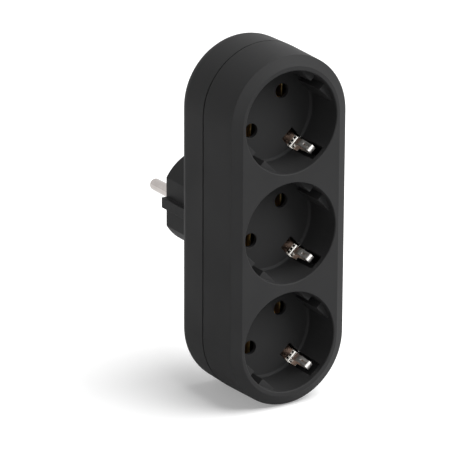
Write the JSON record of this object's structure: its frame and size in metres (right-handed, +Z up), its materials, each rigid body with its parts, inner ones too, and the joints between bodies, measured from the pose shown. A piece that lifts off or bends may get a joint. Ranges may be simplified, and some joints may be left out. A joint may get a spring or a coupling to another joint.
{
  "type": "multi socket adapter",
  "caption": "Upright plug-in outlet adapter with a row of round earthed wells in a bevelled black housing and a round pinned plug body on its back.",
  "frame": {"origin": "centre of the plug's face on the back", "axes": "+Y out of the plug's face towards the wall outlet, +Z up along the row of wells, +X to the viewer's right when the wells are looked into"},
  "size_m": [0.0508, 0.0839, 0.1374],
  "materials": {
    "housing": "fine matte black moulded plastic",
    "pins": "bright nickel plating",
    "brass": "plain stamped brass",
    "earth_metal": "tinned spring strip",
    "rivets": "plain brass",
    "screws": "zinc plated steel"
  },
  "bodies": {
    "root": {"front_shell": "housing", "rear_shell": "housing", "plug_pin_live": "pins", "plug_pin_neutral": "pins", "live_busbar": "brass", "neutral_busbar": "brass", "earth_busbar": "brass", "plug_earth_strap": "earth_metal", "earth_pin_sleeve": "earth_metal", "contact_rivets": "rivets", "pin_rivets": "rivets", "earth_rivets": "rivets", "housing_screws": "screws", "live_contact_top": "brass", "neutral_contact_top": "brass", "earth_clip_top": "earth_metal", "live_contact_middle": "brass", "neutral_contact_middle": "brass", "earth_clip_middle": "earth_metal", "live_contact_bottom": "brass", "neutral_contact_bottom": "brass", "earth_clip_bottom": "earth_metal"}
  },
  "joints": []
}
